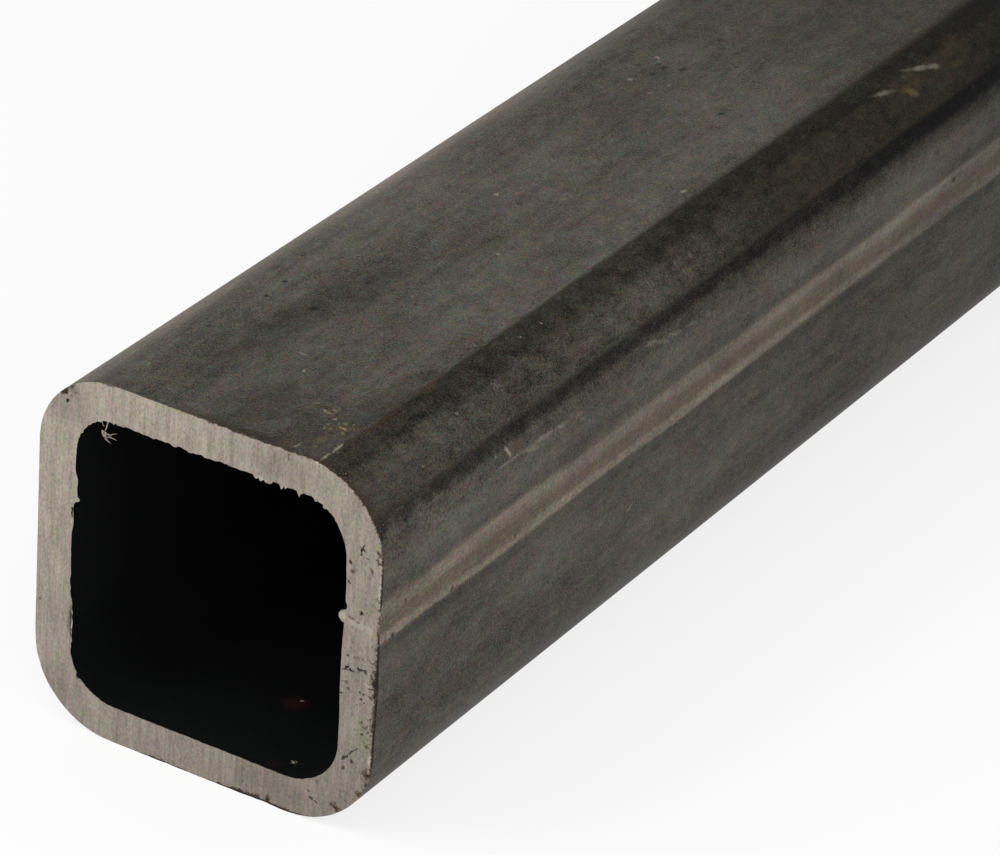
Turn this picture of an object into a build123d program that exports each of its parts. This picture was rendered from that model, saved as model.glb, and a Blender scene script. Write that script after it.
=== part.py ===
"""A length of square steel tube, rolled from strip and closed by one straight weld.

The tube lies on its lower face. X runs across it, Y along it and Z up. The origin is on the
floor under the middle of the tube. All sizes are in millimetres.
"""

from build123d import *
import os

os.makedirs("parts", exist_ok=True)

# Driving dimensions
side = 63.5  # outside width and height, 2 1/2 in
wall = 6.35  # wall thickness, 1/4 in
length = 304.8  # sold length, 12 in
outer_radius = 14.6  # outside corners as rolled, about 2.3 walls
inner_radius = 8.9  # inside corners, which roll tighter and leave the corner a little thicker

# The weld runs along the +X wall, where the two edges of the strip met
weld_offset = 7.6  # middle of the planed strip, above the middle of the wall
scarf_width = 7.5  # strip planed along the weld outside
scarf_depth = 0.2  # how far the planing tool dips into the wall
bead_shift = 0.7  # how far below the planed strip's middle the bead runs
bead_width = 2.4  # weld metal squeezed into the bore and left there
bead_height = 1.1
bead_root_radius = 0.4  # where the bead runs out into the wall

# Worked out from them
bore = side - 2 * wall
outside_face = side / 2
inside_face = bore / 2
bead_offset = weld_offset - bead_shift
section_plane = Plane(origin=(0, 0, side / 2), x_dir=(1, 0, 0), z_dir=(0, -1, 0))

with BuildPart() as square_tube:
    with BuildSketch(section_plane) as section:
        # The rolled wall: one rounded square inside another
        RectangleRounded(side, side, outer_radius)
        RectangleRounded(bore, bore, inner_radius, mode=Mode.SUBTRACT)

        # The bead inside: a low crest that stands out of the wall, with softened roots
        with BuildLine():
            crest = ThreePointArc(
                (inside_face, bead_offset - bead_width / 2),
                (inside_face - bead_height, bead_offset),
                (inside_face, bead_offset + bead_width / 2),
            )
            Polyline(
                crest @ 1,
                (inside_face + wall / 2, bead_offset + bead_width / 2),
                (inside_face + wall / 2, bead_offset - bead_width / 2),
                crest @ 0,
            )
        make_face()
        roots = [section.vertices().sort_by_distance(crest @ end)[0] for end in (0, 1)]
        fillet(roots, bead_root_radius)

        # The scarf outside: a shallow dish where the outer bead was planed off
        with BuildLine():
            dish = ThreePointArc(
                (outside_face, weld_offset - scarf_width / 2),
                (outside_face - scarf_depth, weld_offset),
                (outside_face, weld_offset + scarf_width / 2),
            )
            Line(dish @ 1, dish @ 0)
        make_face(mode=Mode.SUBTRACT)

    # Both ends are saw cuts, square to the tube
    extrude(amount=length / 2, both=True)

square_tube.part.label = "square_tube"
export_step(square_tube.part, "parts/square_tube.step")
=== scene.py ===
"""The looks of a length of square steel tube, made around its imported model.

The tube lies along Y on the floor, with its near cut end at the lowest y and its
weld along the +X wall. Sizes are in millimetres in the classes below, and become
metres where a mesh or the studio takes them.
"""

import logging
import math
from abc import ABC, abstractmethod
from dataclasses import dataclass, field
from enum import Enum
from typing import Any, Callable, Mapping, Sequence, Union

import bpy
import numpy as np
from mathutils import Matrix, Vector


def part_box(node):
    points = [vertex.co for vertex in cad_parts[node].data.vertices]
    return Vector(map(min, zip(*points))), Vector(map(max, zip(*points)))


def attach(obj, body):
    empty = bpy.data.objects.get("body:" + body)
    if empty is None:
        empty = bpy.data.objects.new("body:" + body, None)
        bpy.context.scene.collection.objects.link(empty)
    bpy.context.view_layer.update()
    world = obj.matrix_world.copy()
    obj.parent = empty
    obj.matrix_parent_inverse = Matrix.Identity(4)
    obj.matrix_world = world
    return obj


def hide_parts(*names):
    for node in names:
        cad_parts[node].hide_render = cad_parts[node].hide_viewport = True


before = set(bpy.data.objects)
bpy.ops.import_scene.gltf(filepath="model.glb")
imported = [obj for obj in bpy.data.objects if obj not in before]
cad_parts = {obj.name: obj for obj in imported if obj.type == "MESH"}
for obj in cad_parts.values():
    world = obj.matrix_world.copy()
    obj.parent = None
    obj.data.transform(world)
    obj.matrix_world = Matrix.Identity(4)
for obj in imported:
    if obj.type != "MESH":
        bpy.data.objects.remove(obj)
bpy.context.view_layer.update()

LOG = logging.getLogger("square_tube")
NODE = "square_tube"
MM = 0.001
AXIS = (sum(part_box(NODE), Vector()) / 2 / MM).to_tuple()  # the tube's middle, in millimetres
FINE = 3  # fine columns, near a cut, to each column of the long skins

Pair = tuple[float, float]
Triple = tuple[float, float, float]
Tone = Triple  # a display colour, each part 0 to 255
Stripe = tuple[float, float, Pair]  # where a band starts and ends, and how wide each soft edge is
Value = Union["Signal", float, Sequence[float]]
WHITE = (1.0, 1.0, 1.0, 1.0)


# ---------------------------------------------------------------- small numeric tools


def linear(tone: Tone) -> tuple[float, float, float, float]:
    """Turns a display tone into the linear colour that a shader takes.

    Args:
        tone: the tone, each part 0 to 255.

    Returns:
        The colour, each part 0 to 1, with an alpha of 1.
    """
    parts = np.asarray(tone) / 255.0
    low, high = parts / 12.92, ((parts + 0.055) / 1.055) ** 2.4
    return (*np.where(parts <= 0.04045, low, high).tolist(), 1.0)


def ragged(count: int, teeth: int, seed: int) -> np.ndarray:
    """Makes a closed row of random teeth: straight lines between random heights.

    Args:
        count: how many values go round.
        teeth: how many random heights go round.
        seed: what the random heights are drawn from.

    Returns:
        count values from 0 to 1, whose last leads back to the first.
    """
    heights = np.random.default_rng(seed).random(teeth)
    return np.interp(np.arange(count) * teeth / count, np.arange(teeth + 1), np.append(heights, heights[0]))


def graded(count: int, focus: float, half_width: float, gain: float) -> np.ndarray:
    """Spreads values from 0 towards 1, closer together round one place.

    The density is 1 + gain * exp(-((t - focus) / half_width)^4), and the values
    cut its running sum into equal steps.

    Args:
        count: how many values, the first of them 0.
        focus: where they are closest.
        half_width: how far the close spacing reaches.
        gain: how much closer they are there.

    Returns:
        The values, all below 1.
    """
    fine = np.linspace(0.0, 1.0, 2001)
    running = np.cumsum(1.0 + gain * np.exp(-(((fine - focus) / half_width) ** 4)))
    running = (running - running[0]) / (running[-1] - running[0])
    return np.interp(np.arange(count) / count, running, fine)


# ---------------------------------------------------------------- the section


class Corner(Enum):
    """The four corners, by their place in the walk round the section."""

    BOTTOM_PLAIN = 0
    TOP_PLAIN = 1
    TOP_WELD = 2
    BOTTOM_WELD = 3


CORNER_SIGNS = np.array([(-1.0, -1.0), (-1.0, 1.0), (1.0, 1.0), (1.0, -1.0)])


@dataclass(frozen=True)
class Walk:
    """The columns of one walk round the section, clockwise from the bottom's middle.

    Each column lies between two corners, at a fraction of the way from one to the
    other, and faces along its own angle from straight up. On an arc both corners
    are the same.
    """

    start: np.ndarray
    end: np.ndarray
    fraction: np.ndarray
    facing: np.ndarray

    @property
    def normals(self) -> np.ndarray:
        """The outward direction (x, z) = (sin facing, cos facing) of each column."""
        return np.stack([np.sin(self.facing), np.cos(self.facing)], axis=1)

    @property
    def coarse(self) -> "Walk":
        """The columns that the long skins keep, one in every FINE."""
        return Walk(self.start[::FINE], self.end[::FINE], self.fraction[::FINE], self.facing[::FINE])

    def __len__(self) -> int:
        """How many columns there are."""
        return len(self.facing)


@dataclass(frozen=True)
class Weld:
    """The weld: a band scarfed flat outside, and the rolled-up bead left inside."""

    height: float = 7.6
    scarf_width: float = 7.5
    scarf_depth: float = 0.2
    bead_height: float = 6.9
    bead_width: float = 2.3
    bead_crest: float = 1.1
    wander_waves: tuple[Triple, ...] = ((0.16, 43.0, 0.0), (0.07, 17.0, 1.0))  # height, length, start
    crest_waves: tuple[Triple, ...] = ((0.1, 9.0, 0.0), (0.06, 3.7, 0.0))

    @staticmethod
    def _ripple(y: np.ndarray, waves: Sequence[Triple]) -> np.ndarray:
        """The sum of some sine waves along the tube."""
        return sum(height * np.sin(2 * np.pi * y / length + start) for height, length, start in waves)

    def wander(self, y: np.ndarray) -> np.ndarray:
        """How far the band strays from its line: two sine waves of unlike length."""
        return self._ripple(y, self.wander_waves)

    def scarf(self, z: np.ndarray, y: np.ndarray) -> np.ndarray:
        """The depth planed off outside: depth * (1 - u^2), u from -1 to 1 across the band."""
        across = (z - self.height - self.wander(y)) / (self.scarf_width / 2)
        return self.scarf_depth * np.clip(1 - across**2, 0, None)

    def bead(self, z: np.ndarray, y: np.ndarray) -> np.ndarray:
        """Works out the rise of the bead inside.

        It is crest * (1 - u^2)^0.6, where u goes from -1 to 1 across the bead and
        the crest is uneven along the tube.

        Args:
            z: the points' heights.
            y: their places along the tube.

        Returns:
            The rise of each point.
        """
        across = (z - self.bead_height - 0.5 * self.wander(y)) / (self.bead_width / 2)
        crest = self.bead_crest * (1 + self._ripple(y, self.crest_waves))
        return crest * np.clip(1 - across**2, 0, None) ** 0.6


@dataclass(frozen=True)
class Section:
    """The tube's section: two rounded squares, one inside the other."""

    side: float = 63.5
    wall: float = 6.35
    nominal_radius: float = 14.5
    outer_radii: tuple[float, float, float, float] = (14.7, 13.6, 14.7, 15.6)
    inner_radii: tuple[float, float, float, float] = (9.1, 8.2, 8.7, 9.5)
    corner_columns: int = 72
    wall_columns: int = 90
    top_columns: int = 132
    weld_columns: int = 186
    weld: Weld = field(default_factory=Weld)

    @property
    def round_girth(self) -> float:
        """The length once round the outside, by the nominal corner radius."""
        straight = self.side - 2 * self.nominal_radius
        return 4 * straight + 2 * math.pi * self.nominal_radius

    def walk(self) -> Walk:
        """Lays out the fine columns: arcs by equal angles, walls by equal steps.

        The weld wall's steps close up round the weld.

        Returns:
            The whole walk, starting and ending at the middle of the bottom.
        """
        low_plain, top_plain, top_weld, low_weld = (corner.value for corner in Corner)
        half = self.wall_columns // 2
        even = np.arange(self.wall_columns) / self.wall_columns
        bottom = np.arange(half) / half / 2
        top = np.arange(self.top_columns) / self.top_columns
        weld = graded(self.weld_columns, focus=0.29, half_width=0.17, gain=4.0)
        turn = np.arange(self.corner_columns) / self.corner_columns
        legs = (
            (low_weld, low_plain, 0.5 + bottom, -180.0, 0.0),
            (low_plain, low_plain, turn, -180.0, 90.0),
            (low_plain, top_plain, even, -90.0, 0.0),
            (top_plain, top_plain, turn, -90.0, 90.0),
            (top_plain, top_weld, top, 0.0, 0.0),
            (top_weld, top_weld, turn, 0.0, 90.0),
            (top_weld, low_weld, weld, 90.0, 0.0),
            (low_weld, low_weld, turn, 90.0, 90.0),
            (low_weld, low_plain, bottom, 180.0, 0.0),
        )
        return Walk(
            np.concatenate([np.full(len(steps), start) for start, _, steps, _, _ in legs]),
            np.concatenate([np.full(len(steps), end) for _, end, steps, _, _ in legs]),
            np.concatenate([steps for _, _, steps, _, _ in legs]),
            np.radians(np.concatenate([angle + swing * steps for _, _, steps, angle, swing in legs])),
        )

    @staticmethod
    def _outline(walk: Walk, half: float, radii: Sequence[float]) -> np.ndarray:
        """Works out the points of a rounded square.

        On an arc they are the corner's centre + radius * facing, and on a wall they
        lie in line between the ends of its two arcs.

        Args:
            walk: the columns.
            half: half the square's side.
            radii: the four corners' radii, in the order of Corner.

        Returns:
            The (x, z) of each column: (columns, 2).
        """
        radius = np.asarray(radii)
        centres = CORNER_SIGNS * (half - radius)[:, None]
        first = centres[walk.start] + radius[walk.start, None] * walk.normals
        last = centres[walk.end] + radius[walk.end, None] * walk.normals
        return first + walk.fraction[:, None] * (last - first)

    def outer(self, walk: Walk, y: np.ndarray | float) -> np.ndarray:
        """The outside at length y, with the weld's scarf taken off: (columns, 3)."""
        points = self._outline(walk, self.side / 2, self.outer_radii)
        return self._stand(walk, points, y, lambda z, run: -self.weld.scarf(z, run))

    def inner(self, walk: Walk, y: np.ndarray | float) -> np.ndarray:
        """The bore's surface at length y, with the weld's bead on it: (columns, 3)."""
        points = self._outline(walk, self.side / 2 - self.wall, self.inner_radii)
        return self._stand(walk, points, y, lambda z, run: -self.weld.bead(z, run))

    def _stand(
        self, walk: Walk, points: np.ndarray, y: np.ndarray | float, relief: Callable[..., np.ndarray]
    ) -> np.ndarray:
        """Moves the weld wall's points out by their relief and gives all of them their y.

        Args:
            walk: the columns.
            points: the (x, z) of each column.
            y: where they lie along the tube, one for all or one for each.
            relief: how far out a point of the weld wall stands, from its z and y.

        Returns:
            The points: (columns, 3).
        """
        run = np.broadcast_to(np.asarray(y, dtype=float), len(walk))
        on_weld = (walk.start == Corner.TOP_WELD.value) & (walk.end == Corner.BOTTOM_WELD.value)
        shift = np.where(on_weld, relief(points[:, 1], run), 0.0)
        placed = points + shift[:, None] * walk.normals
        return np.stack([placed[:, 0], run, placed[:, 1]], axis=1)

    def girth(self, points: np.ndarray) -> np.ndarray:
        """How far round the outside each point lies, from the middle of the top.

        Each quarter, from one corner's middle to the next, is a wall and two half
        arcs: the distance is x on the wall, and radius * angle on the arcs.

        Args:
            points: (columns, 3) points, on the outside or within the wall.

        Returns:
            Columns + 1 distances: the walk's end repeats its start, one girth on.
        """
        flat = self.side / 2 - self.nominal_radius
        quarter = self.round_girth / 4
        x, z = points[:, 0], points[:, 2]
        turns = np.round(np.arctan2(x, z) / (np.pi / 2))
        angle = turns * np.pi / 2
        across = x * np.cos(angle) - z * np.sin(angle)
        rise = x * np.sin(angle) + z * np.cos(angle)
        over = np.clip(np.abs(across) - flat, 0, None)
        arc = self.nominal_radius * np.arctan2(over, rise - flat)
        distance = turns * quarter + np.sign(across) * (np.minimum(np.abs(across), flat) + arc)
        distance[0] = -self.round_girth / 2
        return np.append(distance, distance[0] + self.round_girth)


# ---------------------------------------------------------------- meshes


class Finish(Enum):
    """The finishes of the tube's surfaces, in the order of its material slots."""

    MILL_SCALE = 0
    SAWN_STEEL = 1
    BORE_SCALE = 2
    BURR_STEEL = 3


@dataclass
class Row:
    """One closed row of mesh points and the number of its first."""

    points: np.ndarray
    first: int

    def __len__(self) -> int:
        """How many points go round."""
        return len(self.points)


class MeshWriter:
    """Gathers closed rows and the bands between them into one mesh.

    Seen from outside, each band's second row lies to the left of the way its rows
    run, so that faces point outwards.
    """

    def __init__(self, name: str) -> None:
        """Starts an empty mesh.

        Args:
            name: what the mesh and its object are called.
        """
        self.name = name
        self.points: list[np.ndarray] = []
        self.stains: list[np.ndarray] = []
        self.faces: list[np.ndarray] = []
        self.layers: dict[str, list[np.ndarray]] = {"surface": [], "OFBake": []}
        self.finishes: list[np.ndarray] = []
        self.total = 0

    def row(self, points: np.ndarray, stain: np.ndarray | float = 0.0) -> Row:
        """Adds one closed row of points.

        Args:
            points: the points, in millimetres from the tube's middle.
            stain: how stained they are, one for all or one for each.

        Returns:
            The row, with the number of its first point.
        """
        made = Row(points, self.total)
        self.points.append(points)
        self.stains.append(np.broadcast_to(np.asarray(stain, dtype=float), len(points)))
        self.total += len(points)
        return made

    def _corners(self, low: Row, high: Row) -> tuple[np.ndarray, np.ndarray]:
        """Which column of which row each corner of each face of a band takes.

        Rows as long as each other give four-cornered faces. Where one is FINE
        times longer, a face takes one step of the short row and FINE of the long.

        Args:
            low: the band's first row.
            high: its second.

        Returns:
            Two arrays (faces, corners): 0 or 1 for the row, and the column in it.
        """
        steps = min(len(low), len(high))
        step = np.arange(steps)[:, None]
        low_each, high_each = len(low) // steps, len(high) // steps
        along = step * low_each + np.arange(low_each + 1)
        back = step * high_each + np.arange(high_each, -1, -1)
        rows = np.concatenate([np.zeros_like(along), np.ones_like(back)], axis=1)
        return rows, np.concatenate([along, back], axis=1)

    def band(
        self, low: Row, high: Row, maps: Mapping[str, tuple[np.ndarray, np.ndarray]], finish: Finish
    ) -> None:
        """Joins two rows by faces.

        Args:
            low: the row to the right of the way the rows run.
            high: the row to its left.
            maps: for each UV layer, the two rows' coordinates, one more than the
                row has points, because the last face ends where the first began.
            finish: what the faces are finished in.
        """
        rows, columns = self._corners(low, high)
        first = np.where(rows == 0, low.first, high.first)
        length = np.where(rows == 0, len(low), len(high))
        self.faces.append(first + columns % length)
        self.finishes.append(np.full(len(columns), finish.value))
        for layer, (low_map, high_map) in maps.items():
            picked = np.where(
                (rows == 0)[..., None],
                low_map[np.minimum(columns, len(low_map) - 1)],
                high_map[np.minimum(columns, len(high_map) - 1)],
            )
            self.layers[layer].append(picked.reshape(-1, 2))

    def cap(self, row: Row, maps: Mapping[str, np.ndarray], finish: Finish, backwards: bool) -> None:
        """Closes a row with one face.

        Args:
            row: the row.
            maps: for each UV layer, the row's coordinates.
            finish: what the face is finished in.
            backwards: whether the face runs against the row.
        """
        order = np.arange(len(row))[::-1] if backwards else np.arange(len(row))
        self.faces.append((row.first + order)[None, :])
        self.finishes.append(np.array([finish.value]))
        for layer, placed in maps.items():
            self.layers[layer].append(placed[order])

    def build(self, sharp_angle: float) -> bpy.types.Object:
        """Puts what was gathered into a new object.

        Args:
            sharp_angle: the angle between faces, in degrees, past which shading breaks.

        Returns:
            The object, linked to the scene.
        """
        mesh = bpy.data.meshes.new(self.name)
        faces = [face for group in self.faces for face in group.tolist()]
        mesh.from_pydata(((np.concatenate(self.points) + AXIS) * MM).tolist(), [], faces)
        mesh.polygons.foreach_set("material_index", np.concatenate(self.finishes).astype(np.int32))
        for layer, parts in self.layers.items():
            made = mesh.uv_layers.new(name=layer)
            made.data.foreach_set("uv", np.concatenate(parts).astype(np.float32).ravel())
        stain = mesh.attributes.new("stain", "FLOAT", "POINT")
        stain.data.foreach_set("value", np.concatenate(self.stains).astype(np.float32))
        mesh.polygons.foreach_set("use_smooth", np.ones(len(faces), dtype=bool))
        mesh.set_sharp_from_angle(angle=math.radians(sharp_angle))
        mesh.validate()
        piece = bpy.data.objects.new(self.name, mesh)
        bpy.context.scene.collection.objects.link(piece)
        return piece


# ---------------------------------------------------------------- the cut ends


@dataclass(frozen=True)
class Nick:
    """A bite out of an end's outer edge, by its place (x, z) on the end."""

    x: float
    z: float
    reach: float
    depth: float


@dataclass(frozen=True)
class Stain:
    """A dark patch of an end, mostly rust: its middle (x, z), reach, strength, and how close it keeps to the
    rim.
    """

    x: float
    z: float
    reach: float
    strength: float
    hug: float = 60.0


@dataclass(frozen=True)
class Lump:
    """A stand of burr on one wall's lip, by its place along the wall, half width and height."""

    at: float
    half_width: float
    height: float


@dataclass(frozen=True)
class Lip:
    """The burr along one wall of the bore, which faces (x, z)."""

    facing: Pair
    stand: float = 0.03
    teeth: float = 0.05
    lumps: tuple[Lump, ...] = ()

    def reach(self, walk: Walk, at: np.ndarray, teeth: np.ndarray) -> np.ndarray:
        """Works out how far the burr stands into the bore.

        It is stand + teeth, plus height * exp(-((s - at) / half_width)^4) for each
        lump, where s is x or z along the wall; round the corners it fades out.

        Args:
            walk: the columns.
            at: the (x, z) of each column on the bore.
            teeth: a random height for each column.

        Returns:
            The reach of each column.
        """
        share = np.clip((walk.normals @ self.facing - 0.6) / 0.2, 0.0, 1.0)
        along = at @ np.abs(self.facing[::-1])
        total = self.stand + self.teeth * teeth
        for lump in self.lumps:
            total = total + lump.height * np.exp(-(((along - lump.at) / lump.half_width) ** 4))
        return share * total


@dataclass(frozen=True)
class CutEnd:
    """A sawn end: its broken outer edge, its face and the burr round its bore."""

    y: float
    inward: float
    seed: int
    edge_break: float = 0.1
    nicks: tuple[Nick, ...] = ()
    stains: tuple[Stain, ...] = ()
    lips: tuple[Lip, ...] = (Lip((-1, 0)), Lip((0, 1), teeth=0.3), Lip((1, 0)), Lip((0, -1)))
    slit: Pair = (0.0, 0.0)
    slit_depth: float = 0.6
    edge_teeth: tuple[int, int] = (260, 61)  # how many teeth go round, in two sizes
    lip_teeth: tuple[int, int] = (389, 140)
    nick_teeth: int = 330
    stain_run: float = 1.2
    skin_steps: tuple[float, ...] = (0.9, 1.7, 3.0)
    lip_steps: tuple[Pair, ...] = ((0.14, 0.9), (0.4, 0.5), (0.8, 0.16), (1.6, 0.03), (3.0, 0.0))
    face_steps: tuple[float, ...] = (0.05, 0.12, 0.3, 0.5, 0.7, 0.85, 0.925, 0.965)

    def depth(self, run: np.ndarray | float) -> np.ndarray | float:
        """The y of points that lie so far into the tube from the cut."""
        return self.y + self.inward * run

    def edge(self, section: Section, walk: Walk) -> np.ndarray:
        """Works out how far the outer edge is broken back.

        It is a thin even break with random teeth, and for each nick about
        depth * exp(-d^2 / reach^2), where d is the distance from the nick.

        Args:
            section: the tube's section.
            walk: the columns.

        Returns:
            The break of each column.
        """
        at = section.outer(walk, self.y)[:, [0, 2]]
        fine, broad = self.edge_teeth
        teeth = ragged(len(walk), fine, self.seed) * ragged(len(walk), broad, self.seed + 1)
        broken = self.edge_break * (1 + 2.2 * teeth)
        for nick in self.nicks:
            away = np.hypot(at[:, 0] - nick.x, at[:, 1] - nick.z)
            bite = nick.depth * np.exp(-((away / nick.reach) ** 2))
            broken = broken + bite * (0.45 + 0.9 * ragged(len(walk), self.nick_teeth, self.seed + 2))
        return broken

    def stain(self, points: np.ndarray) -> np.ndarray:
        """Works out how stained an end's points are.

        Each patch adds strength * exp(-d^2 / reach^2 - rim / hug), where d is the
        distance from its middle across the end and rim the depth under the outside
        of a square with rounded corners. All of it fades as exp(-run / stain_run)
        along the tube.

        Args:
            points: the points: (columns, 3).

        Returns:
            The stain of each point.
        """
        x, z = points[:, 0], points[:, 2]
        out = np.abs(points[:, [0, 2]]) - (Section.side / 2 - Section.nominal_radius)
        rim = Section.nominal_radius - np.linalg.norm(np.clip(out, 0.0, None), axis=1)
        total = np.zeros(len(points))
        for patch in self.stains:
            away = np.hypot(x - patch.x, z - patch.z)
            spread = (away / patch.reach) ** 2 + np.clip(rim, 0.0, None) / patch.hug
            total += patch.strength * np.exp(-spread)
        return total * np.exp(-np.abs(points[:, 1] - self.y) / self.stain_run)

    def reach(self, section: Section, walk: Walk) -> np.ndarray:
        """Works out how far all the lips together stand into the bore.

        Args:
            section: the tube's section.
            walk: the columns.

        Returns:
            The reach of each column.
        """
        at = section.inner(walk, self.y)[:, [0, 2]]
        fine, broad = self.lip_teeth
        uneven = 0.4 + 0.9 * ragged(len(walk), broad, self.seed + 4)
        teeth = ragged(len(walk), fine, self.seed + 3) * uneven
        return sum(lip.reach(walk, at, teeth) for lip in self.lips)

    def skin_rows(self, section: Section, walk: Walk) -> list[np.ndarray]:
        """Lays rows on the outside, from the broken edge to the last skin step.

        Args:
            section: the tube's section.
            walk: the columns.

        Returns:
            The rows, the one at the edge first.
        """
        edge = self.edge(section, walk)
        depths = [edge] + [np.full(len(walk), step) for step in self.skin_steps]
        return [section.outer(walk, self.depth(run)) for run in depths]

    def face_rows(self, section: Section, walk: Walk) -> list[np.ndarray]:
        """Lays rows on the sawn face, between its outer edge's break and its lip's crest.

        Each is in line between the outer edge, moved in by its break, and the lip.
        The last but one of them sinks where the slit is.

        Args:
            section: the tube's section.
            walk: the columns.

        Returns:
            The rows, the one at the outer edge first.
        """
        edge = self.edge(section, walk)[:, None]
        normals = np.insert(walk.normals, 1, 0.0, axis=1)
        outside = section.outer(walk, self.y) - edge * normals
        inside = self.lip_rows(section, walk)[0]
        rows = [outside + step * (inside - outside) for step in (0.0, *self.face_steps)]
        low, high = self.slit
        if high > low:
            along = np.clip((rows[-2][:, 2] - low) / (high - low), 0.0, 1.0)
            sunk = self.slit_depth * np.sin(np.pi * along) ** 0.5 * (walk.normals[:, 0] < -0.9)
            rows[-2][:, 1] += sunk * self.inward
        return rows

    def lip_rows(self, section: Section, walk: Walk) -> list[np.ndarray]:
        """Lays rows in the bore, from the lip's crest inwards, as its reach dies away.

        Args:
            section: the tube's section.
            walk: the columns.

        Returns:
            The rows, the one at the crest first.
        """
        reach = self.reach(section, walk)[:, None]
        normals = np.insert(walk.normals, 1, 0.0, axis=1)
        wall = section.inner(walk, self.y)
        rows = [wall - reach * normals]
        for depth, share in self.lip_steps:
            rows.append(section.inner(walk, self.depth(depth)) - share * reach * normals)
        return rows


@dataclass(frozen=True)
class Curl:
    """One thin sliver of swarf: a bowed line from its root to its point.

    The places are (x, depth before the cut face, z).
    """

    root: Triple
    bow: Triple
    point: Triple
    width: float

    def rows(self, y: float, steps: int = 7, sides: int = 6) -> list[np.ndarray]:
        """Rows of points round the sliver.

        The middle line is the parabola (1-t)^2 root + 2t(1-t) bow + t^2 point. The
        rows are flattened rings about it whose width goes as (1 - t)^0.5.

        Args:
            y: the cut's place along the tube.
            steps: how many rows.
            sides: how many points go round each.

        Returns:
            The rows, from the root to the point.
        """
        t = np.linspace(0, 0.97, steps)[:, None]
        ends = [np.array((x, y - depth, z)) for x, depth, z in (self.root, self.bow, self.point)]
        line = (1 - t) ** 2 * ends[0] + 2 * t * (1 - t) * ends[1] + t**2 * ends[2]
        way = np.gradient(line, axis=0)
        way /= np.linalg.norm(way, axis=1, keepdims=True)
        flat = np.cross(way, np.array((0.0, 1.0, 0.0)))
        flat /= np.linalg.norm(flat, axis=1, keepdims=True)
        edge = np.cross(flat, way)
        angle = np.arange(sides) * 2 * np.pi / sides
        half = (self.width / 2 * (1 - t) ** 0.5)[..., None]
        ring = np.cos(angle)[:, None] * flat[:, None] + 0.35 * np.sin(angle)[:, None] * edge[:, None]
        return list(line[:, None] + half * ring)


# ---------------------------------------------------------------- shader expressions


class Signal:
    """One output of a shader node, on which Python's operators add Math nodes."""

    def __init__(self, graph: "Graph", socket: bpy.types.NodeSocket) -> None:
        """Keeps the socket and the graph that further nodes go into."""
        self.graph = graph
        self.socket = socket

    def __add__(self, other: Value) -> "Signal":
        """self + other."""
        return self.graph.math("ADD", self, other)

    def __sub__(self, other: Value) -> "Signal":
        """self - other."""
        return self.graph.math("SUBTRACT", self, other)

    def __rsub__(self, other: Value) -> "Signal":
        """other - self."""
        return self.graph.math("SUBTRACT", other, self)

    def __mul__(self, other: Value) -> "Signal":
        """self * other."""
        return self.graph.math("MULTIPLY", self, other)

    def __or__(self, other: "Signal") -> "Signal":
        """The larger of two masks."""
        return self.graph.math("MAXIMUM", self, other)

    __radd__ = __add__
    __rmul__ = __mul__


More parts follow.
